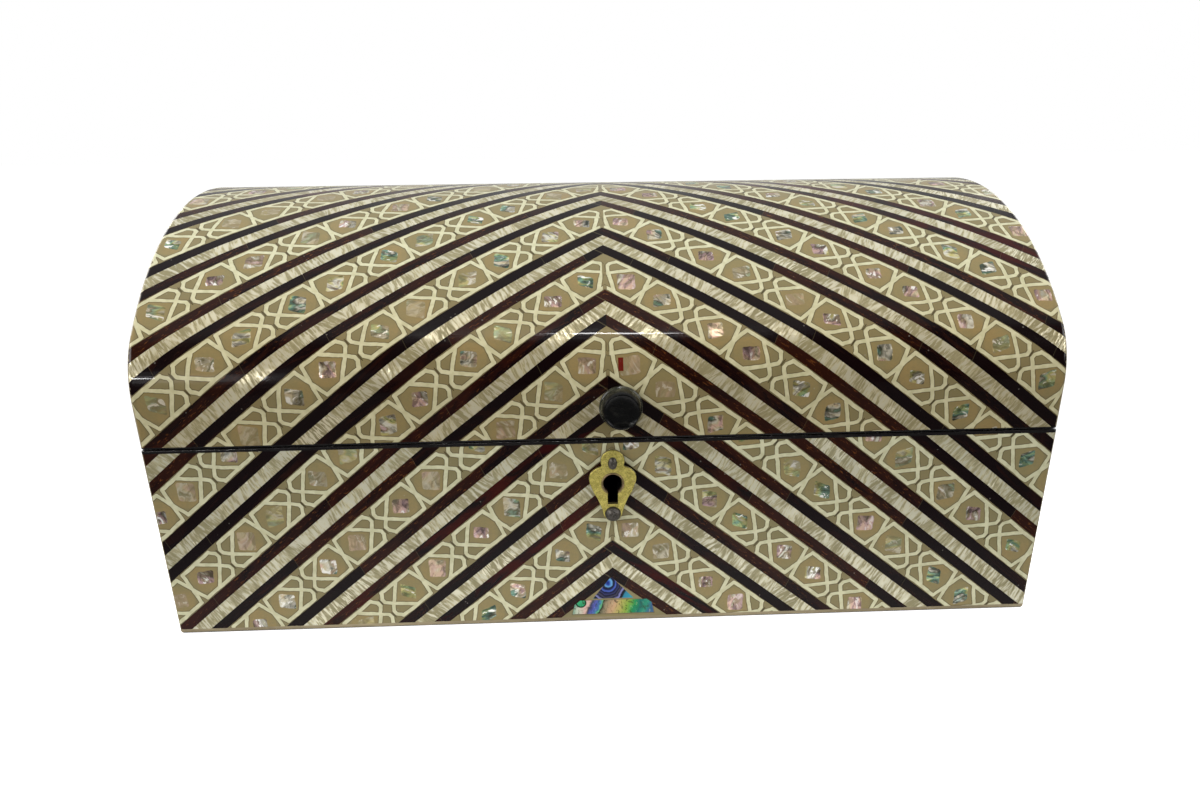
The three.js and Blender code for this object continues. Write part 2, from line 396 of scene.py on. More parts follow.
def makeLattice(strapLine):
    # bone straps that cross and mitre into cells, with a shell square in each large cell
    tree, given, result = newGroup(
        "lattice",
        {"Across": "number", "Up": "number", "Along": "number", "From Middle": "number",
         "Away": "number", "Row": "number", "Side": "number"},
        {"Strap": "number", "Outline": "number", "Corner": "number", "Block Joint": "number",
         "Square": "number", "Square Place": "vector", "Luck": "number", "Luck Colour": "colour"})
    plane = pair(tree, given["Across"], given["Up"])
    rowLuck, rowColour = chance(tree, pair(tree, given["Row"], given["Side"], 3.7))
    start = calc(tree, "MULTIPLY_ADD", rowLuck, 1.4, lattice["start"] - 0.7)
    fromStart = calc(tree, "SUBTRACT", given["Along"], start)
    half = lattice["period"] / 2
    signed = calc(tree, "WRAP", fromStart, half, -half)
    folded = calc(tree, "MAXIMUM", calc(tree, "ABSOLUTE", signed),
                  calc(tree, "SUBTRACT", start, given["Along"]))
    depth = calc(tree, "ABSOLUTE", given["From Middle"])
    # hand-cut unevenness
    shake = putNode(tree, "ShaderNodeTexNoise")
    feed(tree, shake.inputs["Vector"], plane)
    feed(tree, shake.inputs["Scale"], 0.32)
    drift = vec(tree, "SCALE", vec(tree, "SUBTRACT", shake.outputs["Color"], (0.5, 0.5, 0.5)), scale=0.55)
    place = vec(tree, "ADD", pair(tree, folded, depth), drift)
    place = vec(tree, "MULTIPLY", place, (1, 1, 0))
    distance = None
    for first, second in lattice["straps"]:
        run = Vector(second) - Vector(first)
        line = useGroup(tree, strapLine, {
            "Place": place, "Start": (*first, 0), "Direction": (*run.normalized(), 0),
            "Length": run.length})["Distance"]
        distance = line if distance is None else calc(tree, "MINIMUM", distance, line)
    middleCut = ease(tree, given["Away"], lattice["middleGap"], lattice["middleGap"] + 0.12)
    strapHalf = lattice["strapHalf"]
    strap = ease(tree, distance, strapHalf - 0.07, strapHalf + 0.05, 1.0, 0.0)
    strap = calc(tree, "MULTIPLY", strap, middleCut)
    # painted shade: a thin dark line painted beside each strap, as shade along its edge
    outline = between(tree, distance, strapHalf + 0.02, strapHalf + 0.22, 0.08)
    # the cell's own coordinates, upright like the box
    cellOff = calc(tree, "SUBTRACT", signed, calc(tree, "MULTIPLY", calc(tree, "SIGN", signed),
                                                  lattice["cell"]))
    turnCos, turnSin = cos(layout["tilt"]), sin(layout["tilt"])
    upright = pair(
        tree,
        calc(tree, "ADD", calc(tree, "MULTIPLY", cellOff, turnCos),
             calc(tree, "MULTIPLY", given["From Middle"], turnSin)),
        calc(tree, "SUBTRACT", calc(tree, "MULTIPLY", given["From Middle"], turnCos),
             calc(tree, "MULTIPLY", cellOff, turnSin)))
    corner = ease(tree, vec(tree, "LENGTH", pair(tree, cellOff, given["From Middle"])), 4.4, 5.0)
    blockNumber = calc(tree, "FLOOR", calc(tree, "DIVIDE", calc(tree, "ADD", fromStart, half),
                                           lattice["period"]))
    cellNumber = calc(tree, "MULTIPLY_ADD", calc(tree, "SIGN", signed), 0.25, blockNumber)
    luck, luckColour = chance(tree, pair(tree, cellNumber, given["Row"], given["Side"]))
    split = putNode(tree, "ShaderNodeSeparateColor")
    feed(tree, split.inputs[0], luckColour)
    turn = calc(tree, "MULTIPLY_ADD", split.outputs[0], 0.7, -0.35)
    spin = putNode(tree, "ShaderNodeVectorRotate", rotation_type="Z_AXIS")
    feed(tree, spin.inputs["Vector"], upright)
    feed(tree, spin.inputs["Angle"], turn)
    squarePlace = vec(tree, "ADD", spin.outputs[0], vec(tree, "SCALE", drift, scale=1.6))
    sides = putNode(tree, "ShaderNodeSeparateXYZ")
    feed(tree, sides.inputs[0], squarePlace)
    skew = calc(tree, "MULTIPLY_ADD", luck, 0.7, -0.35)
    wide = calc(tree, "ABSOLUTE", calc(tree, "MULTIPLY_ADD", sides.outputs[1], skew, sides.outputs[0]))
    tall = calc(tree, "MULTIPLY", calc(tree, "ABSOLUTE", sides.outputs[1]),
                calc(tree, "MULTIPLY_ADD", split.outputs[1], 0.45, 0.85))
    size = calc(tree, "MULTIPLY_ADD", split.outputs[2], 0.5, 1.4)
    beyond = pair(tree, calc(tree, "MAXIMUM", calc(tree, "SUBTRACT", wide, size), 0.0),
                  calc(tree, "MAXIMUM", calc(tree, "SUBTRACT", tall, size), 0.0))
    square = ease(tree, vec(tree, "LENGTH", beyond), 0.52, 0.72, 1.0, 0.0)
    # the joint between two blocks of lattice is a thin dark line
    seamOff = calc(tree, "SUBTRACT", half, folded)
    seam = calc(tree, "MULTIPLY", between(tree, seamOff, -0.12, 0.12, 0.08),
                between(tree, depth, 1.7, 3.9, 0.2))
    seam = calc(tree, "MULTIPLY", seam, calc(tree, "GREATER_THAN", given["Away"], 3.0))
    for label, value in (("Strap", strap), ("Outline", outline), ("Corner", corner),
                         ("Block Joint", seam), ("Square", square), ("Square Place", squarePlace),
                         ("Luck", luck), ("Luck Colour", luckColour)):
        feed(tree, result[label], value)
    return tree


def makeShellSquare():
    # one chip of shell: pink, green, gold or silver lustre in soft curved layers, some of it dull, with
    # painted shade in its folds and painted glints
    tree, given, result = newGroup(
        "shellChip", {"Place": "vector", "Luck": "number", "Luck Colour": "colour"},
        {"Colour": "colour", "Sheen": "number", "Height": "number"})
    lucky = putNode(tree, "ShaderNodeSeparateColor")
    feed(tree, lucky.inputs[0], given["Luck Colour"])
    far = vec(tree, "SCALE", given["Luck Colour"], scale=60.0)
    turned = putNode(tree, "ShaderNodeVectorRotate", rotation_type="Z_AXIS")
    feed(tree, turned.inputs["Vector"], given["Place"])
    feed(tree, turned.inputs["Angle"], calc(tree, "MULTIPLY", given["Luck"], 3.1))
    place = vec(tree, "ADD", vec(tree, "MULTIPLY", turned.outputs[0], (0.7, 1.3, 1)), far)
    layers = noise(tree, place, 0.2, 2.0, 0.45, 0.8)
    hue = calc(tree, "FRACT", calc(tree, "MULTIPLY_ADD", layers, 1.3, lucky.outputs[0]))
    lustre = ramp(tree, hue, (
        (0.0, (0.52, 0.46, 0.30)), (0.12, (0.62, 0.42, 0.33)), (0.22, (0.44, 0.30, 0.31)),
        (0.31, (0.26, 0.20, 0.12)), (0.42, (0.60, 0.59, 0.50)), (0.54, (0.52, 0.46, 0.18)),
        (0.64, (0.30, 0.40, 0.19)), (0.73, (0.16, 0.29, 0.23)), (0.82, (0.12, 0.12, 0.08)),
        (0.91, (0.58, 0.56, 0.47)), (1.0, (0.52, 0.46, 0.30))))
    folds = noise(tree, place, 0.42, 3.0, 0.6, 0.9)
    shadow = ease(tree, folds, 0.36, 0.52, 0.4, 1.0)
    # a flat cut across the chip catches the light differently
    cutOff = vec(tree, "DOT_PRODUCT", turned.outputs[0], (0.8, 0.6, 0))
    cutAt = calc(tree, "MULTIPLY_ADD", lucky.outputs[1], 3.0, -1.5)
    cutShade = ease(tree, calc(tree, "SUBTRACT", cutOff, cutAt), -0.12, 0.12, 0.66, 1.1)
    shadow = calc(tree, "MULTIPLY", shadow, cutShade)
    lustre = mixed(tree, 1.0, lustre, pair(tree, shadow, shadow, shadow), "MULTIPLY")
    # painted highlight: small white glints painted into the chip's colour
    paintedGlint = calc(tree, "MULTIPLY", ease(tree, folds, 0.57, 0.64),
                 ease(tree, lucky.outputs[1], 0.2, 0.6, 0.3, 1.0))
    lustre = mixed(tree, paintedGlint, lustre, (0.95, 0.94, 0.88))
    dullness = ease(tree, lucky.outputs[2], 0.5, 0.95, 0.0, 0.75)
    colour = mixed(tree, dullness, lustre, (0.29, 0.235, 0.12))
    sheen = calc(tree, "SUBTRACT", 1.0, dullness)
    for label, value in (("Colour", colour), ("Sheen", sheen), ("Height", folds)):
        feed(tree, result[label], value)
    return tree


def makePearl():
    # silvery shell strips in short pieces, finely striped across; the pale stripes are partly the shell's own
    # banding and partly painted glints
    tree, given, result = newGroup(
        "pearl", {"Along": "number", "From Middle": "number", "Row": "number", "Side": "number"},
        {"Colour": "colour", "Sheen": "number", "Height": "number"})
    rowLuck, rowColour = chance(tree, pair(tree, given["Row"], given["Side"], 9.1))
    lengths = noise(tree, pair(tree, given["Along"], given["Row"]), 0.06, 1.0)
    count = calc(tree, "MULTIPLY_ADD", given["Along"], 0.14, calc(tree, "MULTIPLY", rowLuck, 5.0))
    count = calc(tree, "MULTIPLY_ADD", lengths, 1.6, count)
    count = calc(tree, "MULTIPLY_ADD", given["From Middle"], 0.012, count)
    pieceNumber = calc(tree, "FLOOR", count)
    pieceLuck, pieceColour = chance(tree, pair(tree, pieceNumber, given["Row"], given["Side"]))
    end = calc(tree, "FRACT", count)
    joint = calc(tree, "MAXIMUM", ease(tree, end, 0.0, 0.03, 1.0, 0.0), ease(tree, end, 0.985, 1.0))
    slant = calc(tree, "MULTIPLY", calc(tree, "SUBTRACT", pieceLuck, 0.5), given["From Middle"])
    stripe = pair(tree, calc(tree, "MULTIPLY_ADD", slant, 0.7, given["Along"]),
                  calc(tree, "MULTIPLY", given["From Middle"], 0.16), pieceLuck)
    fine = noise(tree, stripe, 1.45, 3.0, 0.62, 0.25)
    broad = noise(tree, stripe, 0.16, 2.0, 0.5)
    tone = calc(tree, "MULTIPLY_ADD", broad, 0.7, calc(tree, "MULTIPLY", pieceLuck, 0.22))
    colour = mixed(tree, ease(tree, tone, 0.25, 0.75), shades["pearlDim"], shades["pearl"])
    # partly painted highlight: the pale stripes stand in partly for glints of light on the shell
    stripeAndGlint = ease(tree, calc(tree, "MULTIPLY_ADD", pieceLuck, 0.05, fine), 0.50, 0.60)
    colour = mixed(tree, calc(tree, "MULTIPLY", stripeAndGlint, 0.75), colour, shades["pearlStripeAndGlint"])
    dark = ease(tree, fine, 0.38, 0.49, 0.8, 0.0)
    colour = mixed(tree, dark, colour, shades["pearlDim"])
    colour = mixed(tree, calc(tree, "MULTIPLY", joint, 0.15), colour, shades["outline"])
    for label, value in (("Colour", colour), ("Sheen", stripeAndGlint), ("Height", fine)):
        feed(tree, result[label], value)
    return tree


def makeDarkStrip():
    # near-black tortoiseshell that clears to deep red and amber in places
    tree, given, result = newGroup(
        "darkStrip",
        {"Along": "number", "Strip": "number", "Row": "number", "Side": "number"},
        {"Colour": "colour"})
    isUpper = calc(tree, "GREATER_THAN", given["Strip"], layout["pearlHigh"])
    lane = calc(tree, "MULTIPLY_ADD", given["Row"], 2.0, isUpper)
    laneLuck, laneColour = chance(tree, pair(tree, lane, given["Side"], 5.3))
    count = calc(tree, "MULTIPLY_ADD", given["Along"], 0.022, calc(tree, "MULTIPLY", laneLuck, 7.0))
    count = calc(tree, "MULTIPLY_ADD", given["Strip"], 0.004, count)
    pieceLuck, pieceColour = chance(tree, pair(tree, calc(tree, "FLOOR", count), lane, given["Side"]))
    end = calc(tree, "FRACT", count)
    joint = ease(tree, end, 0.0, 0.006, 1.0, 0.0)
    stretched = pair(tree, calc(tree, "MULTIPLY", given["Along"], 0.3), given["Strip"], lane)
    clouds = noise(tree, stretched, 0.22, 3.0, 0.6, 0.8)
    flecks = noise(tree, stretched, 1.6, 3.0, 0.7, 0.5)
    clear = ease(tree, calc(tree, "MULTIPLY_ADD", pieceLuck, 0.5, clouds), 0.62, 0.98)
    colour = mixed(tree, clear, shades["plum"], shades["tortoise"])
    fleck = calc(tree, "MULTIPLY", ease(tree, pieceLuck, 0.3, 0.8), ease(tree, flecks, 0.56, 0.72))
    colour = mixed(tree, calc(tree, "MULTIPLY", fleck, 0.75), colour, shades["amber"])
    red = calc(tree, "MULTIPLY", ease(tree, laneLuck, 0.62, 0.8), ease(tree, clouds, 0.42, 0.62))
    colour = mixed(tree, calc(tree, "MULTIPLY", red, 0.6), colour, shades["crimson"])
    colour = mixed(tree, calc(tree, "MULTIPLY", joint, 0.2), colour, shades["groundGrey"])
    feed(tree, result["Colour"], colour)
    return tree


abalone = {
    "barLow": 2.4, "barHigh": 6.85, "barHalf": 12.0, "barTaper": 0.2, "barX": 1.35,
    "peak": 14.5, "foot": 7.35, "footLeft": -4.7, "footRight": 7.4, "peakX": 0.8,
    "eyeX": -0.15, "eyeY": 12.5,
    "budX": -8.1, "budY": 6.1, "budSize": 1.55,
    "overlap": 0.9,     # how far it may lie over the first dark strip
}


def makeAbalone():
    # the abalone at the foot of the chevrons: a swirled blue triangle over a bar of many greens
    tree, given, result = newGroup(
        "abalone", {"Across": "number", "Up": "number"},
        {"Mask": "number", "Colour": "colour", "Rim": "number"})
    across, up = given["Across"], given["Up"]
    plane = pair(tree, across, up)
    bend = noise(tree, plane, 0.35, 2.0, 0.5, 0.6)
    # bar
    climb = calc(tree, "SUBTRACT", up, abalone["barLow"])
    reach = calc(tree, "MULTIPLY_ADD", climb, -abalone["barTaper"], abalone["barHalf"])
    barOff = calc(tree, "ABSOLUTE", calc(tree, "SUBTRACT", across, abalone["barX"]))
    barSide = calc(tree, "SUBTRACT", barOff, reach)
    bar = calc(tree, "MULTIPLY", ease(tree, barSide, -0.15, 0.1, 1.0, 0.0),
               between(tree, up, abalone["barLow"], abalone["barHigh"], 0.1))
    lean = calc(tree, "MULTIPLY_ADD", up, -0.35, across)
    lean = calc(tree, "MULTIPLY_ADD", calc(tree, "SUBTRACT", bend, 0.5), 2.4, lean)
    barColour = ramp(tree, calc(tree, "MULTIPLY_ADD", lean, 1 / 24, 13 / 24), (
        (0.04, (0.04, 0.22, 0.15)), (0.11, (0.45, 0.50, 0.38)), (0.21, (0.62, 0.38, 0.33)),
        (0.245, (0.04, 0.05, 0.07)), (0.29, (0.08, 0.09, 0.36)), (0.345, (0.05, 0.16, 0.34)),
        (0.365, (0.12, 0.42, 0.20)), (0.385, (0.008, 0.012, 0.008)), (0.43, (0.24, 0.20, 0.12)),
        (0.53, (0.52, 0.32, 0.18)), (0.61, (0.40, 0.36, 0.10)), (0.71, (0.20, 0.36, 0.05)),
        (0.78, (0.02, 0.26, 0.08)), (0.85, (0.015, 0.13, 0.12)), (0.93, (0.03, 0.25, 0.15)),
        (1.0, (0.04, 0.11, 0.22))))
    budOff = vec(tree, "LENGTH", vec(tree, "SUBTRACT", plane, (abalone["budX"], abalone["budY"], 0)))
    budOff = calc(tree, "SUBTRACT", budOff, abalone["budSize"])
    barColour = mixed(tree, ease(tree, budOff, -0.05, 0.15, 1.0, 0.0), barColour, (0.008, 0.03, 0.015))
    barColour = mixed(tree, ease(tree, budOff, -0.5, -0.25, 1.0, 0.0), barColour, (0.03, 0.33, 0.14))
    streaks = noise(tree, vec(tree, "MULTIPLY", plane, (1.5, 0.8, 1)), 0.7, 3.0, 0.65, 0.8)
    barColour = mixed(tree, ease(tree, streaks, 0.32, 0.48, 0.75, 0.0), barColour, (0.03, 0.035, 0.02))
    barColour = mixed(tree, ease(tree, streaks, 0.6, 0.75, 0.0, 0.4), barColour, (0.50, 0.56, 0.30))
    # triangle
    share = calc(tree, "DIVIDE", calc(tree, "SUBTRACT", abalone["peak"], up),
                 abalone["peak"] - abalone["foot"])
    left = calc(tree, "MULTIPLY_ADD", share, abalone["footLeft"] - abalone["peakX"], abalone["peakX"])
    right = calc(tree, "MULTIPLY_ADD", share, abalone["footRight"] - abalone["peakX"], abalone["peakX"])
    inside = calc(tree, "MINIMUM", calc(tree, "SUBTRACT", across, left),
                  calc(tree, "SUBTRACT", right, across))
    triangle = calc(tree, "MULTIPLY", ease(tree, inside, -0.05, 0.2),
                    between(tree, up, abalone["foot"], abalone["peak"], 0.1))
    eye = vec(tree, "MULTIPLY", vec(tree, "SUBTRACT", plane, (abalone["eyeX"], abalone["eyeY"], 0)),
              (1.0, 0.8, 0))
    ring = calc(tree, "MULTIPLY_ADD", calc(tree, "SUBTRACT", bend, 0.5), 1.2, vec(tree, "LENGTH", eye))
    swirl = ramp(tree, calc(tree, "DIVIDE", ring, 8.0), (
        (0.0, (0.008, 0.015, 0.10)), (0.07, (0.02, 0.06, 0.34)), (0.145, (0.13, 0.34, 0.62)),
        (0.185, (0.006, 0.008, 0.02)), (0.235, (0.01, 0.015, 0.06)), (0.285, (0.06, 0.11, 0.46)),
        (0.33, (0.006, 0.006, 0.015)), (0.39, (0.03, 0.035, 0.12)), (0.43, (0.008, 0.008, 0.014)),
        (0.49, (0.045, 0.045, 0.09)), (0.54, (0.01, 0.01, 0.02)), (0.605, (0.22, 0.23, 0.50)),
        (0.645, (0.006, 0.006, 0.012)), (0.71, (0.008, 0.02, 0.03)), (0.74, (0.03, 0.19, 0.30)),
        (1.0, (0.04, 0.28, 0.36))))
    colour = mixed(tree, triangle, barColour, swirl)
    mask = calc(tree, "MAXIMUM", bar, triangle)
    wholeBar = calc(tree, "MULTIPLY", ease(tree, barSide, 0.05, 0.35, 1.0, 0.0),
                    between(tree, up, abalone["barLow"] - 0.3, abalone["barHigh"] + 0.15, 0.1))
    rim = calc(tree, "SUBTRACT", wholeBar, calc(tree, "MULTIPLY", bar, wholeBar))
    for label, value in (("Mask", mask), ("Colour", colour), ("Rim", rim)):
        feed(tree, result[label], value)
    return tree


def makeGrain():
    # straight wood grain along the longest way of the wood
    tree, given, result = newGroup(
        "grain", {"Place": "vector", "Light": "colour", "Dark": "colour", "Scale": "number"},
        {"Colour": "colour", "Height": "number"})
    place = vec(tree, "MULTIPLY", given["Place"], (0.06, 1.0, 1.0))
    bands = noise(tree, place, given["Scale"], 3.0, 0.55, 0.6)
    pores = noise(tree, place, calc(tree, "MULTIPLY", given["Scale"], 7.0), 2.0, 0.6)
    tone = calc(tree, "ADD", ease(tree, bands, 0.3, 0.7), ease(tree, pores, 0.35, 0.6, 0.35, 0.0))
    feed(tree, result["Colour"], mixed(tree, tone, given["Light"], given["Dark"]))
    feed(tree, result["Height"], pores)
    return tree


def makeLacquer():
    # clear lacquer: dust specks, a faint ripple and worn dull patches
    tree, given, result = newGroup(
        "lacquer", {"Place": "vector"}, {"Speck": "number", "Dull": "number", "Height": "number"})
    dots = putNode(tree, "ShaderNodeTexVoronoi")
    feed(tree, dots.inputs["Vector"], given["Place"])
    feed(tree, dots.inputs["Scale"], 0.35)
    specks = ease(tree, dots.outputs["Distance"], 0.05, 0.1, 1.0, 0.0)
    rare = calc(tree, "MULTIPLY", specks, calc(tree, "GREATER_THAN", noise(tree, given["Place"], 0.2), 0.55))
    dull = ease(tree, noise(tree, given["Place"], 0.03, 3.0, 0.6), 0.4, 0.7)
    ripple = noise(tree, given["Place"], 0.05, 2.0, 0.5)
    for label, value in (("Speck", rare), ("Dull", dull), ("Height", ripple)):
        feed(tree, result[label], value)
    return tree


groups = {}


def makeGroups():
    groups["baseChevrons"] = makeChevrons("baseChevrons", layout["base"])
    groups["lidChevrons"] = makeChevrons("lidChevrons", layout["lid"])
    groups["lattice"] = makeLattice(makeStrapLine())
    groups["shellChip"] = makeShellSquare()
    groups["pearl"] = makePearl()
    groups["darkStrip"] = makeDarkStrip()
    groups["abalone"] = makeAbalone()
    groups["grain"] = makeGrain()
    groups["lacquer"] = makeLacquer()


# materials

def newMaterial(name, **sockets):
    # a material with its plain values on the shader's own sockets
    material = bpy.data.materials.new(name)
    material.use_nodes = True
    tree = material.node_tree
    shader = tree.nodes["Principled BSDF"]
    for label, value in sockets.items():
        shader.inputs[label].default_value = value
    return material, tree, shader


def bumpFrom(tree, shader, height, strength, distance):
    node = putNode(tree, "ShaderNodeBump")
    feed(tree, node.inputs["Strength"], strength)
    feed(tree, node.inputs["Distance"], distance)
    feed(tree, node.inputs["Height"], height)
    feed(tree, shader.inputs["Normal"], node.outputs[0])


def woodPlace(tree):
    coords = putNode(tree, "ShaderNodeTexCoord")
    return vec(tree, "SCALE", coords.outputs["Object"], scale=1000.0)


redChip = {"across": 3.9, "up": 76.4, "halfWide": 0.7, "halfTall": 1.8, "colour": (0.13, 0.012, 0.008)}


# painted shade with browned varnish: how far up the lid the darkening runs, and its tone
lidVarnishAndShade = {"full": 80, "gone": 118, "tone": (0.91, 0.86, 0.79)}


def makeInlay(name, chevrons, straps=True, chips=True, withAbalone=False, withRedChip=False,
              varnishedAndShaded=False):
    material, tree, shader = newMaterial(name, **{
        "Specular IOR Level": 0.06, "Coat Weight": 0.18, "Coat Roughness": 0.025})
    uv = putNode(tree, "ShaderNodeUVMap", uv_map="flatPattern")
    split = putNode(tree, "ShaderNodeSeparateXYZ")
    feed(tree, split.inputs[0], vec(tree, "SCALE", uv.outputs[0], scale=1000.0))
    across, up = split.outputs[0], split.outputs[1]
    plane = pair(tree, across, up)
    spot = useGroup(tree, groups[chevrons], {"Across": across, "Up": up})
    strip, row, side = spot["Strip"], spot["Row"], spot["Side"]
    along, middle = spot["Along"], spot["From Middle"]

    # ground of the latticed bands
    blotch = noise(tree, plane, 0.09, 3.0, 0.6)
    speckle = noise(tree, plane, 1.4, 3.0, 0.7)
    ground = mixed(tree, ease(tree, blotch, 0.35, 0.7), shades["ground"], shades["groundWarm"])
    ground = mixed(tree, ease(tree, speckle, 0.35, 0.6, 0.3, 0.0), ground, shades["groundGrey"])
    height = calc(tree, "MULTIPLY", speckle, 0.05)
    sheen = 0.0
    if straps or chips:
        cells = useGroup(tree, groups["lattice"], {
            "Across": across, "Up": up, "Along": along, "From Middle": middle, "Away": spot["Away"],
            "Row": row, "Side": side})
    if straps:
        ground = mixed(tree, calc(tree, "MULTIPLY", cells["Corner"], 0.6), ground, shades["groundGrey"])
        # painted shade beside the straps
        ground = mixed(tree, calc(tree, "MULTIPLY", cells["Outline"], 0.8), ground, shades["outline"])
        ground = mixed(tree, calc(tree, "MULTIPLY", cells["Block Joint"], 0.8), ground, shades["plum"])
    if chips:
        chip = useGroup(tree, groups["shellChip"], {
            "Place": cells["Square Place"], "Luck": cells["Luck"], "Luck Colour": cells["Luck Colour"]})
        ground = mixed(tree, cells["Square"], ground, chip["Colour"])
        sheen = calc(tree, "MULTIPLY", cells["Square"], chip["Sheen"])
        chipHeight = calc(tree, "MULTIPLY", cells["Square"], chip["Height"])
        height = calc(tree, "MULTIPLY_ADD", chipHeight, 0.8, height)
    if straps:
        boneTone = noise(tree, plane, 0.5, 2.0)
        bone = mixed(tree, ease(tree, boneTone, 0.3, 0.7), shades["bone"], shades["boneDull"])
        ground = mixed(tree, cells["Strap"], ground, bone)
        sheen = calc(tree, "MULTIPLY", sheen, calc(tree, "SUBTRACT", 1.0, cells["Strap"]))

    # strips between the bands
    dark = useGroup(tree, groups["darkStrip"], {"Along": along, "Strip": strip, "Row": row, "Side": side})
    pearl = useGroup(tree, groups["pearl"], {
        "Along": along, "From Middle": middle, "Row": row, "Side": side})
    inStrips = between(tree, strip, 0.0, layout["bandLow"], 0.07)
    inPearl = between(tree, strip, layout["pearlLow"], layout["pearlHigh"], 0.09)
    strips = mixed(tree, inPearl, dark["Colour"], pearl["Colour"])
    strips = mixed(tree, calc(tree, "MULTIPLY", spot["Joint"], 0.25), strips, shades["groundGrey"])
    colour = mixed(tree, inStrips, ground, strips)
    outStrips = calc(tree, "SUBTRACT", 1.0, inStrips)
    sheen = calc(tree, "MULTIPLY", sheen, outStrips)
    pearlPart = calc(tree, "MULTIPLY", inPearl, pearl["Sheen"])
    sheen = calc(tree, "MULTIPLY_ADD", pearlPart, 0.9, sheen)
    height = calc(tree, "MULTIPLY", height, outStrips)
    height = calc(tree, "MULTIPLY_ADD", calc(tree, "MULTIPLY", inPearl, pearl["Height"]), 0.7, height)

    if withAbalone:
        patch = useGroup(tree, groups["abalone"], {"Across": across, "Up": up})
        inField = calc(tree, "LESS_THAN", row, -0.5)
        plain = mixed(tree, ease(tree, blotch, 0.35, 0.7), shades["ground"], shades["groundGrey"])
        field = mixed(tree, calc(tree, "MULTIPLY", patch["Rim"], 0.8), plain, shades["outline"])
        colour = mixed(tree, inField, colour, field)
        rise = calc(tree, "MULTIPLY_ADD", row, layout["period"], strip)
        patchPart = calc(tree, "MULTIPLY", patch["Mask"], calc(tree, "LESS_THAN", rise, abalone["overlap"]))
        colour = mixed(tree, patchPart, colour, patch["Colour"])
        sheen = swing(tree, inField, sheen, calc(tree, "MULTIPLY", patch["Mask"], 0.3))

    if withRedChip:
        offAcross = calc(tree, "SUBTRACT", across, redChip["across"])
        offUp = calc(tree, "SUBTRACT", up, redChip["up"])
        chipMask = calc(
            tree, "MULTIPLY", between(tree, offAcross, -redChip["halfWide"], redChip["halfWide"], 0.1),
            between(tree, offUp, -redChip["halfTall"], redChip["halfTall"], 0.15))
        colour = mixed(tree, chipMask, colour, redChip["colour"])
        sheen = calc(tree, "MULTIPLY", sheen, calc(tree, "SUBTRACT", 1.0, chipMask))

    if varnishedAndShaded:
        # painted shade and browned varnish: the lid's colour is darkened and browned, most of all low on its
        # front
        brownAndShade = ease(tree, up, lidVarnishAndShade["full"], lidVarnishAndShade["gone"], 1.0, 0.0)
        colour = mixed(tree, brownAndShade, colour, lidVarnishAndShade["tone"], "MULTIPLY")

    film = useGroup(tree, groups["lacquer"], {"Place": plane})
    colour = mixed(tree, calc(tree, "MULTIPLY", film["Speck"], 0.25), colour, (0.35, 0.33, 0.28))
    feed(tree, shader.inputs["Base Color"], colour)
    roughness = swing(tree, film["Dull"], 0.2, 0.3)
    feed(tree, shader.inputs["Roughness"], roughness)
    feed(tree, shader.inputs["Metallic"], calc(tree, "MULTIPLY", sheen, 0.45))
    height = calc(tree, "MULTIPLY_ADD", film["Height"], 0.25, height)
    bumpFrom(tree, shader, height, 0.35, 0.35 * mm)
    return material


def makeWood(name, light, dark, scale, roughness, specular=0.35):
    material, tree, shader = newMaterial(name, **{"Specular IOR Level": specular})
    wood = useGroup(tree, groups["grain"], {
        "Place": woodPlace(tree), "Light": (*light, 1), "Dark": (*dark, 1), "Scale": scale})
    feed(tree, shader.inputs["Base Color"], wood["Colour"])
    dull = ease(tree, wood["Height"], 0.3, 0.7, roughness - 0.06, roughness + 0.1)
    feed(tree, shader.inputs["Roughness"], dull)
    bumpFrom(tree, shader, wood["Height"], 0.2, 0.1 * mm)
    return material


def makeBlackEdge():
    # the polished black edging of both rims, a little rubbed
    material, tree, shader = newMaterial("blackEdge", **{
        "Specular IOR Level": 0.2, "Coat Weight": 0.25, "Coat Roughness": 0.04})
    place = woodPlace(tree)
    rub = noise(tree, vec(tree, "MULTIPLY", place, (0.25, 0.25, 1.0)), 0.8, 3.0, 0.6)
    colour = mixed(tree, ease(tree, rub, 0.62, 0.8, 0.0, 0.5), shades["blackEdge"], (0.05, 0.035, 0.025))
    feed(tree, shader.inputs["Base Color"], colour)
    feed(tree, shader.inputs["Roughness"], ease(tree, rub, 0.3, 0.7, 0.16, 0.32))
    bumpFrom(tree, shader, rub, 0.25, 0.15 * mm)
    return material


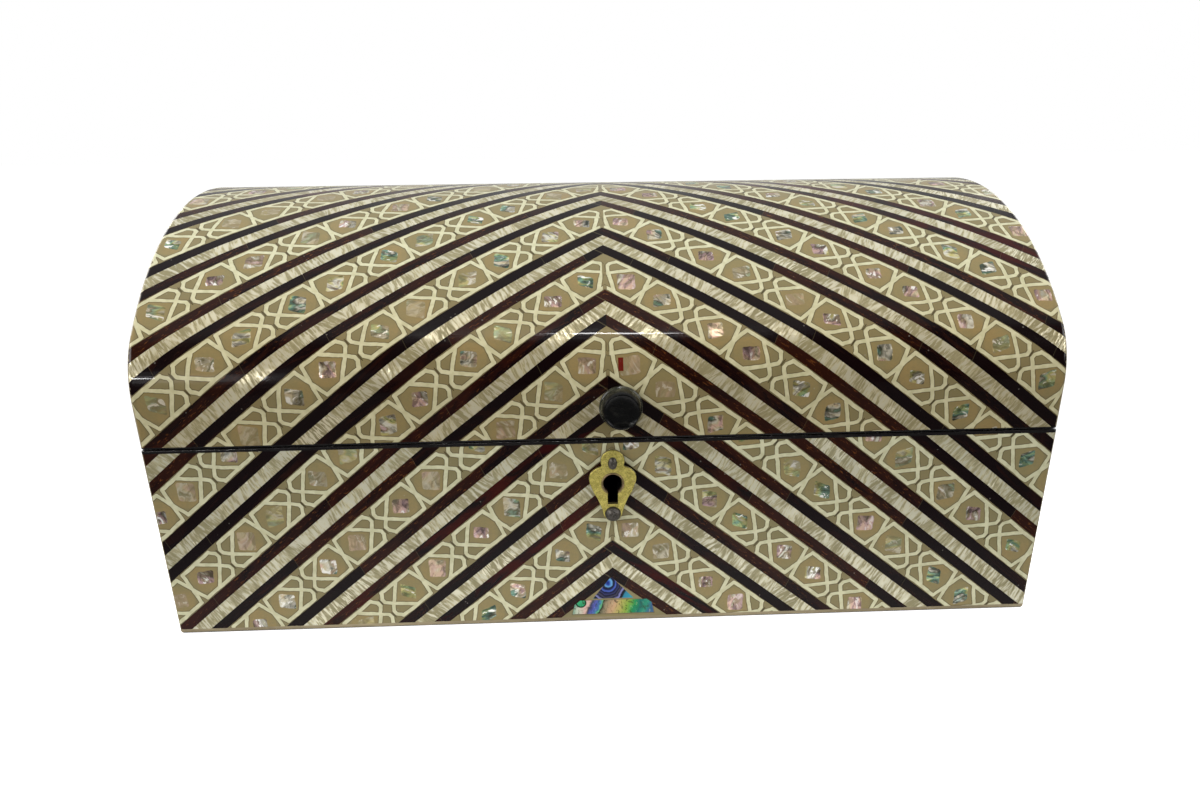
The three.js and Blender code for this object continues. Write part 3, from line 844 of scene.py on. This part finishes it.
def makeBrass(centre):
    # worn cast brass: olive and rosy blotches, pits, and painted shade on the turned-down edge
    material, tree, shader = newMaterial("wornBrass", **{"Metallic": 0.75, "Specular IOR Level": 0.5})
    place = woodPlace(tree)
    blotch = noise(tree, place, 0.9, 3.0, 0.6, 0.5)
    pits = putNode(tree, "ShaderNodeTexVoronoi")
    feed(tree, pits.inputs["Vector"], place)
    feed(tree, pits.inputs["Scale"], 1.7)
    pit = ease(tree, pits.outputs["Distance"], 0.1, 0.24, 1.0, 0.0)
    pit = calc(tree, "MULTIPLY", pit, ease(tree, noise(tree, place, 1.1), 0.46, 0.6))
    grit = noise(tree, place, 3.2, 3.0, 0.7)
    colour = mixed(tree, ease(tree, blotch, 0.3, 0.7), (0.74, 0.64, 0.17), (0.46, 0.39, 0.09))
    colour = mixed(tree, ease(tree, noise(tree, place, 0.6, 2.0), 0.56, 0.75, 0.0, 0.5), colour,
                   (0.50, 0.36, 0.13))
    colour = mixed(tree, ease(tree, grit, 0.36, 0.48, 0.8, 0.0), colour, (0.20, 0.15, 0.04))
    colour = mixed(tree, calc(tree, "MULTIPLY", pit, 0.8), colour, (0.08, 0.05, 0.02))
    # rosy wear and grime in the ring, and painted shade along the turned-down edge
    fromHole = vec(tree, "LENGTH", vec(tree, "MULTIPLY", vec(tree, "SUBTRACT", place, centre / mm), (1, 0, 1)))
    ringTone = mixed(tree, ease(tree, blotch, 0.4, 0.6), (0.13, 0.08, 0.05), (0.30, 0.20, 0.13))
    colour = mixed(tree, ease(tree, fromHole, 3.1, 3.3, 0.85, 0.0), colour, ringTone)
    # painted shade: darker where the plate's edge turns away from the front
    outward = vec(tree, "DOT_PRODUCT", putNode(tree, "ShaderNodeNewGeometry").outputs["Normal"], (0, -1, 0))
    colour = mixed(tree, ease(tree, outward, 0.5, 0.95, 0.85, 0.0), colour, (0.05, 0.035, 0.015))
    feed(tree, shader.inputs["Base Color"], colour)
    feed(tree, shader.inputs["Roughness"], ease(tree, blotch, 0.3, 0.7, 0.34, 0.5))
    height = calc(tree, "SUBTRACT", calc(tree, "MULTIPLY", grit, 0.35), pit)
    bumpFrom(tree, shader, height, 0.5, 0.12 * mm)
    return material


def makeIron():
    # dull dark nail heads with scratches that show lighter metal, and painted shade round their sides
    material, tree, shader = newMaterial("nailIron", **{"Metallic": 0.55, "Specular IOR Level": 0.45})
    place = woodPlace(tree)
    scale = noise(tree, place, 1.8, 4.0, 0.65, 0.4)
    scratch = noise(tree, vec(tree, "MULTIPLY", place, (0.5, 1.0, 3.0)), 2.2, 2.0, 0.6, 0.8)
    colour = mixed(tree, ease(tree, scale, 0.3, 0.7), (0.022, 0.019, 0.016), (0.085, 0.075, 0.062))
    colour = mixed(tree, ease(tree, scratch, 0.6, 0.72, 0.0, 0.7), colour, (0.32, 0.30, 0.27))
    # painted shade: darker where the head turns away from the front
    outward = vec(tree, "DOT_PRODUCT", putNode(tree, "ShaderNodeNewGeometry").outputs["Normal"], (0, -1, 0))
    colour = mixed(tree, ease(tree, outward, 0.3, 0.75, 0.85, 0.0), colour, (0.015, 0.012, 0.008))
    feed(tree, shader.inputs["Base Color"], colour)
    feed(tree, shader.inputs["Roughness"], ease(tree, scale, 0.3, 0.7, 0.36, 0.6))
    bumpFrom(tree, shader, scale, 0.4, 0.12 * mm)
    return material


def makeKnobBlack(centre):
    # black polish with painted reflection smears, rubbed to a grey green round the widest part
    material, tree, shader = newMaterial("knobBlack", **{
        "Specular IOR Level": 0.14, "Coat Weight": 0.05, "Coat Roughness": 0.05})
    place = woodPlace(tree)
    flat = vec(tree, "SUBTRACT", vec(tree, "MULTIPLY", place, (1, 0, 1)),
               (centre.x / mm, 0, centre.z / mm))
    radius = vec(tree, "LENGTH", flat)
    rub = noise(tree, place, 0.5, 2.0, 0.5)
    worn = calc(tree, "MULTIPLY", ease(tree, radius, 4.9, 5.7), ease(tree, rub, 0.3, 0.6, 0.35, 1.0))
    colour = mixed(tree, worn, (0.003, 0.003, 0.003), (0.045, 0.044, 0.030))
    # painted reflection: faint grey smears painted on the black face
    paintedReflection = noise(tree, vec(tree, "MULTIPLY", place, (0.5, 1, 1.6)), 0.5, 3.0, 0.6, 0.5)
    colour = mixed(tree, ease(tree, paintedReflection, 0.5, 0.75, 0.0, 0.6), colour, (0.022, 0.021, 0.018))
    feed(tree, shader.inputs["Base Color"], colour)
    feed(tree, shader.inputs["Roughness"], ease(tree, rub, 0.3, 0.7, 0.14, 0.3))
    bumpFrom(tree, shader, rub, 0.15, 0.1 * mm)
    return material


# the developed pattern on the box

seam = {"middle": (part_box("base_box")[1].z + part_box("lid_shell")[0].z) / 2}

lidShape = {
    "springing": 68 * mm,       # top of the upright walls
    "shoulderRadius": 24 * mm,
    "shoulderAngle": pi / 4,
    "wall": 6 * mm,
    "endRound": 1.5 * mm,
    "rimBlack": 0.45 * mm,
    "rimRound": 0.2 * mm,
    "shoulderSteps": 10,
    "crownSteps": 36,
}
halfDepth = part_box("lid_shell")[1].y
lidShape["shoulderY"] = halfDepth - lidShape["shoulderRadius"]
lidShape["crownRadius"] = lidShape["shoulderRadius"] + lidShape["shoulderY"] / cos(lidShape["shoulderAngle"])
lidShape["crownZ"] = lidShape["springing"] - lidShape["shoulderY"]
lidShape["shoulderLength"] = lidShape["shoulderRadius"] * lidShape["shoulderAngle"]
lidShape["wholeLength"] = 2 * (lidShape["springing"] + lidShape["shoulderLength"]) + (
    lidShape["crownRadius"] * (pi - 2 * lidShape["shoulderAngle"]))


def frontLength(y, z):
    # distance from the foot of the front, up the wall and over the lid
    shape = lidShape
    if z <= shape["springing"]:
        return z if y < 0 else shape["wholeLength"] - z
    forward = atan2(z - shape["springing"], abs(y) - shape["shoulderY"])
    if abs(y) > shape["shoulderY"] and forward < shape["shoulderAngle"]:
        run = shape["springing"] + shape["shoulderRadius"] * forward
        return run if y < 0 else shape["wholeLength"] - run
    turn = atan2(z - shape["crownZ"], -y) - shape["shoulderAngle"]
    return shape["springing"] + shape["shoulderLength"] + shape["crownRadius"] * turn


def depthInLid(y, z):
    # how far a point lies below the lid's outer outline
    shape = lidShape
    if z <= shape["springing"]:
        return halfDepth - abs(y)
    forward = atan2(z - shape["springing"], abs(y) - shape["shoulderY"])
    if abs(y) > shape["shoulderY"] and forward < shape["shoulderAngle"]:
        return shape["shoulderRadius"] - hypot(abs(y) - shape["shoulderY"], z - shape["springing"])
    return shape["crownRadius"] - hypot(y, z - shape["crownZ"])


pattern = {
    # height added on the ends, so that the strips meet those of the front at the corners
    "endShiftRight": 24.9 * mm,
    "endShiftLeft": 31.2 * mm,
}


def layPattern(piece):
    # flat pattern coordinates for every corner of every face, in metres
    layer = piece.data.uv_layers.new(name="flatPattern")
    for face in piece.data.polygons:
        isEnd = face.material_index == slots["end"]
        endShift = pattern["endShiftRight"] if face.center.x > 0 else pattern["endShiftLeft"]
        for corner in face.loop_indices:
            point = piece.data.vertices[piece.data.loops[corner].vertex_index].co
            if isEnd:
                layer.data[corner].uv = (point.y, point.z + endShift)
            else:
                layer.data[corner].uv = (point.x, frontLength(point.y, point.z))


slots = {"front": 0, "back": 1, "end": 2, "rim": 3, "inside": 4, "edge": 5}


def fillSlots(piece, finishes):
    for name in slots:
        piece.data.materials.append(finishes[name])


# base

baseShape = {
    "corner": 1.1 * mm,
    "foot": 0.6 * mm,
    "footBare": 1.4 * mm,       # bare wood along the foot, below the inlay
    "wall": 6 * mm,
    "floor": 5 * mm,
    "rimBlack": 0.95 * mm,
    "rimRound": 0.4 * mm,
    "edgeFrom": radians(32),    # the bare wooden line down each corner
    "edgeTo": radians(58),
}

keyhole = {"z": 43.6 * mm, "radius": 2.7 * mm, "slotHalf": 1.45 * mm, "slotBottom": 6.0 * mm}


def keyholeCutter(front, back):
    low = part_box("escutcheon")
    x = (low[0].x + low[1].x) / 2
    cutter = rodTowardsFront("keyholeCutter", keyhole["radius"], x, keyhole["z"], back, front)
    slot = blockBetween(
        "slotCutter", (x - keyhole["slotHalf"], front, keyhole["z"] - keyhole["slotBottom"]),
        (x + keyhole["slotHalf"], back, keyhole["z"]))
    joinOn(cutter, slot)
    return cutter


def makeBase(finishes):
    low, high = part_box("base_box")
    high = Vector((high.x, high.y, seam["middle"] - 0.15 * mm))
    base = blockBetween("baseInlaid", low, high)
    editFresh(base)
    selectEdges(base, lambda a, b: not near(a.z, b.z))
    bpy.ops.mesh.bevel(offset=baseShape["corner"], segments=6, profile=0.5)
    bpy.ops.mesh.select_all(action="DESELECT")
    selectEdges(base, lambda a, b: near(a.z, low.z) and near(b.z, low.z))
    bpy.ops.mesh.bevel(offset=baseShape["foot"], segments=5, profile=0.5)
    bpy.ops.mesh.select_all(action="DESELECT")
    selectEdges(base, lambda a, b: near(a.z, high.z) and near(b.z, high.z))
    bpy.ops.mesh.bevel(offset=baseShape["rimRound"], segments=5, profile=0.5)
    bpy.ops.mesh.select_all(action="SELECT")
    bpy.ops.mesh.bisect(plane_co=(0, 0, high.z - baseShape["rimBlack"]), plane_no=(0, 0, 1))
    bpy.ops.mesh.select_all(action="SELECT")
    bpy.ops.mesh.bisect(plane_co=(0, 0, low.z + baseShape["footBare"]), plane_no=(0, 0, 1))
    putDown()

    wall = baseShape["wall"]
    hollow = blockBetween("baseHollow", (low.x + wall, low.y + wall, low.z + baseShape["floor"]),
                          (high.x - wall, high.y - wall, high.z + wall))
    cutAway(base, hollow)
    cutAway(base, keyholeCutter(low.y - wall, low.y + 2 * wall))

    fillSlots(base, finishes)
    inX, inY = high.x - wall + 0.01 * mm, high.y - wall + 0.01 * mm
    for face in base.data.polygons:
        centre, normal = face.center, face.normal
        turn = abs(atan2(abs(normal.x), abs(normal.y)))
        inHole = abs(centre.x) < 4 * mm and centre.y < -inY and centre.y > low.y + 0.05 * mm
        if centre.z > high.z - baseShape["rimBlack"]:
            face.material_index = slots["rim"]
        elif abs(centre.x) <= inX and abs(centre.y) <= inY and centre.z > low.z + wall / 2:
            face.material_index = slots["inside"]
        # painted shade: the keyhole's walls take the black rim finish, standing in for the shade inside the
        # hole
        elif inHole:
            face.material_index = slots["rim"]
        elif centre.z < low.z + baseShape["footBare"]:
            face.material_index = slots["edge"]
        elif baseShape["edgeFrom"] < turn < baseShape["edgeTo"]:
            face.material_index = slots["edge"]
        elif abs(normal.x) > abs(normal.y):
            face.material_index = slots["end"]
        else:
            face.material_index = slots["front"] if centre.y < 0 else slots["back"]
    layPattern(base)
    smoothOff(base)
    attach(base, "root")
    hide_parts("base_box")
    print("base: inlaid box with its black rim")
    return base


# lid

def domeSolid(name, inset, rim, steps=1):
    # the front wall is spun over the shoulder, the crown and the back shoulder, then closed
    shape = lidShape
    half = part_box("lid_shell")[1].x - inset
    front = -halfDepth + inset
    top = shape["springing"]
    putDown()
    bpy.ops.mesh.primitive_plane_add(size=1, location=(0, front, (rim + top) / 2), rotation=(pi / 2, 0, 0))
    dome = named(name)
    dome.scale = (2 * half, top - rim, 1)
    bpy.ops.object.transform_apply(location=True, rotation=True, scale=True)
    editFresh(dome)
    selectEdges(dome, lambda a, b: near(a.z, top) and near(b.z, top))
    angle = shape["shoulderAngle"]
    spins = (
        (-shape["shoulderY"], shape["springing"], angle, shape["shoulderSteps"]),
        (0, shape["crownZ"], pi - 2 * angle, shape["crownSteps"]),
        (shape["shoulderY"], shape["springing"], angle, shape["shoulderSteps"]),
    )
    for y, z, sweep, count in spins:
        bpy.ops.mesh.spin(steps=count, angle=sweep, center=(0, y, z), axis=(1, 0, 0))
    bpy.ops.mesh.extrude_region_move(TRANSFORM_OT_translate={"value": (0, 0, rim - top)})
    bpy.ops.mesh.select_all(action="SELECT")
    bpy.ops.mesh.remove_doubles(threshold=0.001 * mm)
    for x in (-half, half):
        bpy.ops.mesh.select_all(action="DESELECT")
        selectEdges(dome, lambda a, b: near(a.x, x) and near(b.x, x))
        bpy.ops.mesh.edge_face_add()
    bpy.ops.mesh.select_all(action="DESELECT")
    selectEdges(dome, lambda a, b: near(a.z, rim) and near(b.z, rim))
    bpy.ops.mesh.edge_face_add()
    bpy.ops.mesh.select_all(action="SELECT")
    bpy.ops.mesh.normals_make_consistent(inside=False)
    putDown()
    return dome


def makeLid(finishes):
    low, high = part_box("lid_shell")
    rim = seam["middle"] + 0.15 * mm
    lid = domeSolid("lidInlaid", 0.0, rim)
    editFresh(lid)
    selectEdges(lid, lambda a, b: near(abs(a.x), high.x) and near(abs(b.x), high.x)
                and not (near(a.z, rim) and near(b.z, rim)))
    bpy.ops.mesh.bevel(offset=lidShape["endRound"], segments=6, profile=0.5)
    bpy.ops.mesh.select_all(action="DESELECT")
    selectEdges(lid, lambda a, b: near(a.z, rim) and near(b.z, rim))
    bpy.ops.mesh.bevel(offset=lidShape["rimRound"], segments=3, profile=0.5)
    bpy.ops.mesh.select_all(action="SELECT")
    bpy.ops.mesh.bisect(plane_co=(0, 0, rim + lidShape["rimBlack"]), plane_no=(0, 0, 1))
    putDown()
    cutAway(lid, domeSolid("lidHollow", lidShape["wall"], rim - lidShape["wall"]))

    fillSlots(lid, finishes)
    for face in lid.data.polygons:
        centre, normal = face.center, face.normal
        turn = abs(atan2(abs(normal.x), hypot(normal.y, normal.z)))
        deep = min(depthInLid(centre.y, centre.z), high.x - abs(centre.x))
        if centre.z < rim + lidShape["rimBlack"]:
            face.material_index = slots["rim"]
        elif deep > lidShape["wall"] / 2:
            face.material_index = slots["inside"]
        elif baseShape["edgeFrom"] < turn < baseShape["edgeTo"]:
            face.material_index = slots["edge"]
        elif turn > pi / 4:
            face.material_index = slots["end"]
        elif centre.y > 0 and centre.z < lidShape["springing"]:
            face.material_index = slots["back"]
        else:
            face.material_index = slots["front"]
    layPattern(lid)
    smoothOff(lid)
    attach(lid, "root")
    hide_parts("lid_shell")
    print("lid: hollow dome with rounded end edges")
    return lid


# keyhole plate and its nails

plateShape = {
    "thickness": 1.1 * mm,
    "roundOver": 0.32 * mm,
    # the right half of the outline from the top down, from the keyhole's round part
    "outline": ((0, 9.7), (2.4, 8.7), (3.3, 6.9), (3.1, 5.1), (4.9, 4.3), (6.45, 2.4), (5.75, -1.5),
                (4.1, -4.8), (2.95, -7.8), (2.4, -9.7), (1.4, -10.8), (0, -11.1)),
    "notch": 3,     # where the head meets the shoulder in a sharp corner
    "ringRadius": 3.0 * mm,
    "ringSection": 0.22 * mm,
}


def makePlate(brass):
    low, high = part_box("escutcheon")
    x, back = (low.x + high.x) / 2, high.y
    putDown()
    bpy.ops.curve.primitive_bezier_circle_add(location=(x, back, keyhole["z"]), rotation=(pi / 2, 0, 0))
    plate = named("keyPlate")
    right = plateShape["outline"]
    ring = list(right) + [(-px, pz) for px, pz in reversed(right[1:-1])]
    notches = (plateShape["notch"], len(ring) - plateShape["notch"])
    spline = plate.data.splines[0]
    spline.bezier_points.add(len(ring) - len(spline.bezier_points))
    for number, (point, place) in enumerate(zip(spline.bezier_points, ring)):
        kind = "VECTOR" if number in notches else "AUTO"
        point.handle_left_type = kind
        point.handle_right_type = kind
        point.co = (place[0] * mm, place[1] * mm, 0)
    spline.use_cyclic_u = True
    spline.resolution_u = 10
    plate.data.dimensions = "2D"
    plate.data.fill_mode = "BOTH"
    depth = plateShape["thickness"] / 2
    plate.data.extrude = depth - plateShape["roundOver"]
    plate.data.bevel_depth = plateShape["roundOver"]
    plate.data.bevel_resolution = 3
    plate.data.offset = -plateShape["roundOver"]
    pickUp(plate)
    bpy.ops.object.convert(target="MESH")
    bpy.ops.object.transform_apply(location=True, rotation=True, scale=True)
    editFresh(plate)
    bpy.ops.mesh.select_all(action="SELECT")
    bpy.ops.mesh.remove_doubles(threshold=0.002 * mm)
    bpy.ops.transform.translate(value=(0, -depth, 0))
    bpy.ops.mesh.normals_make_consistent(inside=False)
    putDown()
    cutAway(plate, keyholeCutter(back - 4 * mm, back + 4 * mm))

    # a low rolled ring stands round the round part, open over the slot
    putDown()
    front = back - plateShape["thickness"]
    bpy.ops.mesh.primitive_circle_add(
        vertices=10, radius=plateShape["ringSection"], fill_type="NGON",
        location=(x + plateShape["ringRadius"], front, keyhole["z"]))
    ringPiece = named("keyholeRing")
    bpy.ops.object.transform_apply(location=True, rotation=True, scale=True)
    openHalf = asin(keyhole["slotHalf"] / plateShape["ringRadius"]) + radians(4)
    editFresh(ringPiece)
    bpy.ops.mesh.select_all(action="SELECT")
    aboutHole = Vector((x, front, keyhole["z"]))
    bpy.ops.transform.rotate(value=-(pi / 2 + openHalf), orient_axis="Y", center_override=aboutHole)
    bpy.ops.mesh.spin(steps=44, angle=2 * pi - 2 * openHalf, center=aboutHole, axis=(0, -1, 0))
    bpy.ops.mesh.select_all(action="SELECT")
    bpy.ops.mesh.remove_doubles(threshold=0.001 * mm)
    bpy.ops.mesh.normals_make_consistent(inside=False)
    putDown()
    joinOn(plate, ringPiece)

    plate.data.materials.clear()
    plate.data.materials.append(brass)
    smoothOff(plate, 40)
    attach(plate, "root")
    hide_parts("escutcheon")
    print("keyhole plate: rounded edges and a raised ring")


nailShape = {
    # each head's width and height, as shares of the solid's, and how much higher it sits
    "top": (0.8, 1.14, 0.3 * mm),
    "bottom": (0.94, 0.9, 0.65 * mm),
    "rings": 6,
    "segments": 32,
}


def makeNail(name, node, stretch, iron):
    # a bar whose front is inset and pulled out step by step into a low dome
    low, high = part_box(node)
    x, z = (low.x + high.x) / 2, (low.z + high.z) / 2 + stretch[2]
    radius = (high.x - low.x) / 2
    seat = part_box("escutcheon")[0].y + 0.15 * mm
    rise = seat - low.y - 0.05 * mm
    nail = rodTowardsFront(name, radius, x, z, seat, seat - 0.12 * rise, nailShape["segments"])
    editFresh(nail)
    selectFaces(nail, lambda centre, normal: normal.y < -0.9)
    rings = nailShape["rings"]
    before = asin(0.12)
    for number in range(1, rings + 1):
        angle = before + (pi / 2 - before) * number / (rings + 0.6)
        earlier = before + (pi / 2 - before) * (number - 1) / (rings + 0.6)
        bpy.ops.mesh.inset(thickness=radius * (cos(earlier) - cos(angle)), depth=0)
        step = rise * (sin(angle) - sin(earlier))
        bpy.ops.transform.translate(value=(0, -step, 0))
    bpy.ops.mesh.select_all(action="SELECT")
    bpy.ops.transform.resize(value=(stretch[0], 1, stretch[1]), center_override=(x, seat, z))
    putDown()
    nail.data.materials.append(iron)
    smoothOff(nail, 50)
    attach(nail, "root")
    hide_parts(node)


# pull knob

knobShape = {
    "segments": 72,
    # (radius, distance from the wall), from the back edge to the rim of the dished face
    "profile": ((5.3, 0.0), (5.75, 0.35), (5.9, 0.9), (5.82, 1.5), (5.55, 1.75), (5.5, 3.2), (5.3, 4.3),
                (5.0, 5.1), (4.75, 5.5), (4.45, 5.6), (4.2, 5.42), (3.6, 5.22), (2.4, 5.13), (1.2, 5.1)),
}


def makeKnob(black):
    low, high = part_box("knob")
    x, z = (low.x + high.x) / 2, (low.z + high.z) / 2
    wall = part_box("lid_shell")[0].y
    profile = knobShape["profile"]
    start = profile[0]
    knob = rodTowardsFront("pullKnob", start[0] * mm, x, z, wall + 0.3 * mm, wall, knobShape["segments"])
    editFresh(knob)
    selectFaces(knob, lambda centre, normal: normal.y < -0.9)
    for earlier, later in zip(profile, profile[1:]):
        bpy.ops.mesh.extrude_region_move(
            TRANSFORM_OT_translate={"value": (0, -(later[1] - earlier[1]) * mm, 0)})
        ratio = later[0] / earlier[0]
        centre = (x, wall - later[1] * mm, z)
        bpy.ops.transform.resize(value=(ratio, 1, ratio), center_override=centre)
    putDown()
    knob.data.materials.append(black)
    smoothOff(knob, 38)
    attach(knob, "root")
    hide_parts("knob")
    print("pull knob: turned, with a dished face")


# floor, light and camera

studio = {
    "floorNear": 0.97,      # the floor is lit close to the box and dim further out
    "floorFar": 0.12,
    "floorReach": (0.10, 0.24),
    "floorSeen": 0.95,      # extra brightness of the floor, for the camera alone
    "airFront": 0.01,       # light of the room in front of the box, above it and behind it
    "airAbove": 0.80,
    "airBehind": 0.60,
    "softSize": (0.9, 0.7),
    "softDistance": 1.5,
    # the four soft lights: (degrees round from the front, degrees up, watts)
    "softLights": ((-66, 29, 18), (66, 29, 13.2), (-128, 22, 6.5), (128, 22, 6.5)),
    # thin tubes: two ends, how thick and how strong
    "tubes": (
        ((-0.82, -1.31, 0.60), (-0.55, -1.44, 0.53), 0.025, 3.0),
        ((-0.28, -0.50, 1.50), (0.33, -0.64, 1.43), 0.022, 4.5),
    ),
}


def softLight(name, place, size, power):
    putDown()
    bpy.ops.object.light_add(type="AREA", location=place)
    light = bpy.context.object
    light.name = name
    light.data.shape = "RECTANGLE"
    light.data.size, light.data.size_y = size
    light.data.energy = power
    aim = Vector((0, 0, 0.05)) - Vector(place)
    light.rotation_euler = aim.to_track_quat("-Z", "Y").to_euler()


def tubeLight(name, first, second, thick, power):
    # a long thin light from first to second that faces the box
    first, second = Vector(first), Vector(second)
    middle = (first + second) / 2
    softLight(name, middle, ((second - first).length, thick), power)
    light = bpy.context.object
    along = (second - first).normalized()
    away = (middle - Vector((0, 0, 0.05))).normalized()
    upward = away.cross(along).normalized()
    light.rotation_euler = Matrix((along, upward, along.cross(upward))).transposed().to_euler()


def makeFloor():
    putDown()
    bpy.ops.mesh.primitive_plane_add(size=16, location=(0, 0, -0.2 * mm))
    floor = named("floor")
    bpy.ops.object.transform_apply(location=True, rotation=True, scale=True)
    material, tree, shader = newMaterial("floorPaper", **{"Roughness": 0.9, "Specular IOR Level": 0.1})
    place = putNode(tree, "ShaderNodeTexCoord").outputs["Object"]
    tone = ease(tree, noise(tree, place, 30.0, 3.0), 0.3, 0.7, 0.97, 1.0)
    near, far = studio["floorReach"]
    fall = ease(tree, vec(tree, "LENGTH", place), near, far, studio["floorNear"], studio["floorFar"])
    shade = calc(tree, "MULTIPLY", tone, fall)
    feed(tree, shader.inputs["Base Color"], pair(tree, shade, shade, shade))
    seen = putNode(tree, "ShaderNodeLightPath").outputs["Is Camera Ray"]
    shader.inputs["Emission Strength"].default_value = 1.0
    glow = calc(tree, "MULTIPLY", seen, studio["floorSeen"])
    feed(tree, shader.inputs["Emission Color"], pair(tree, glow, glow, glow))
    floor.data.materials.append(material)


def makeAir():
    # a dim room in front, a pale ceiling and a paler back, and plain white for the camera
    world = bpy.data.worlds.new("studioAir")
    bpy.context.scene.world = world
    world.use_nodes = True
    air = world.node_tree
    backdrop = air.nodes["Background"]
    backdrop.inputs["Color"].default_value = (1, 1, 1, 1)
    sides = putNode(air, "ShaderNodeSeparateXYZ")
    feed(air, sides.inputs[0], putNode(air, "ShaderNodeTexCoord").outputs["Generated"])
    over = calc(air, "ARCTAN2", sides.outputs[2], calc(air, "MULTIPLY", sides.outputs[1], -1.0))
    light = ease(air, over, radians(60), radians(84), studio["airFront"], studio["airAbove"])
    behind = ease(air, over, radians(100), radians(150))
    light = swing(air, behind, light, studio["airBehind"])
    seen = putNode(air, "ShaderNodeLightPath").outputs["Is Camera Ray"]
    feed(air, backdrop.inputs["Strength"], swing(air, seen, light, 1.0))


def makeStudio():
    makeFloor()
    makeAir()
    for number, (around, up, power) in enumerate(studio["softLights"]):
        turn, lift, reach = radians(around), radians(up), studio["softDistance"]
        place = (reach * sin(turn) * cos(lift), -reach * cos(turn) * cos(lift), reach * sin(lift))
        softLight(f"softLight{number}", place, studio["softSize"], power)
    for number, (first, second, thick, power) in enumerate(studio["tubes"]):
        tubeLight(f"tubeLight{number}", first, second, thick, power)
    print("floor and lights")


view = {
    "place": (-10.55 * mm, -321.60 * mm, 130.47 * mm),
    "down": 0.3994,         # radians
    "turn": -0.0381,
    "roll": 0.0123,
    "lens": 27.06,          # for a sensor 36 wide
    "shiftX": -0.0018,
    "shiftY": 0.1012,
}


def makeCamera():
    turn, down, roll = view["turn"], view["down"], view["roll"]
    forward = Vector((-sin(turn) * cos(down), cos(turn) * cos(down), -sin(down)))
    level = Vector((cos(turn), sin(turn), 0))
    below = forward.cross(level)
    right = cos(roll) * level + sin(roll) * below
    upward = -(-sin(roll) * level + cos(roll) * below)
    putDown()
    bpy.ops.object.camera_add(location=view["place"])
    camera = bpy.context.object
    camera.name = "frontCamera"
    camera.rotation_euler = Matrix((right, upward, -forward)).transposed().to_euler()
    camera.data.lens = view["lens"]
    camera.data.sensor_width = 36
    camera.data.shift_x = view["shiftX"]
    camera.data.shift_y = view["shiftY"]
    camera.data.clip_start = 0.01
    bpy.context.scene.camera = camera
    bpy.context.scene.view_settings.view_transform = "Standard"
    print("camera")


# making it all

makeCamera()
makeGroups()
tanEdge = makeWood("edgeWood", (0.30, 0.25, 0.15), (0.20, 0.16, 0.09), 0.5, 0.35)
finishes = {
    "front": makeInlay("inlayBase", "baseChevrons", withAbalone=True),
    "back": makeInlay("inlayPlain", "baseChevrons", straps=False, chips=False),
    "end": makeInlay("inlayEnds", "baseChevrons", straps=False),
    "rim": makeBlackEdge(),
    "inside": makeWood("insideWood", (0.24, 0.15, 0.08), (0.13, 0.075, 0.04), 0.35, 0.5),
    "edge": tanEdge,
}
print("finishes")
makeBase(finishes)
makeLid({**finishes, "front": makeInlay("inlayLid", "lidChevrons", withRedChip=True, varnishedAndShaded=True)})
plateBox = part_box("escutcheon")
makePlate(makeBrass(Vector(((plateBox[0].x + plateBox[1].x) / 2, plateBox[0].y, keyhole["z"]))))
iron = makeIron()
makeNail("topNail", "escutcheon_nail_top", nailShape["top"], iron)
makeNail("bottomNail", "escutcheon_nail_bottom", nailShape["bottom"], iron)
print("nails")
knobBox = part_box("knob")
makeKnob(makeKnobBlack((knobBox[0] + knobBox[1]) / 2))
makeStudio()
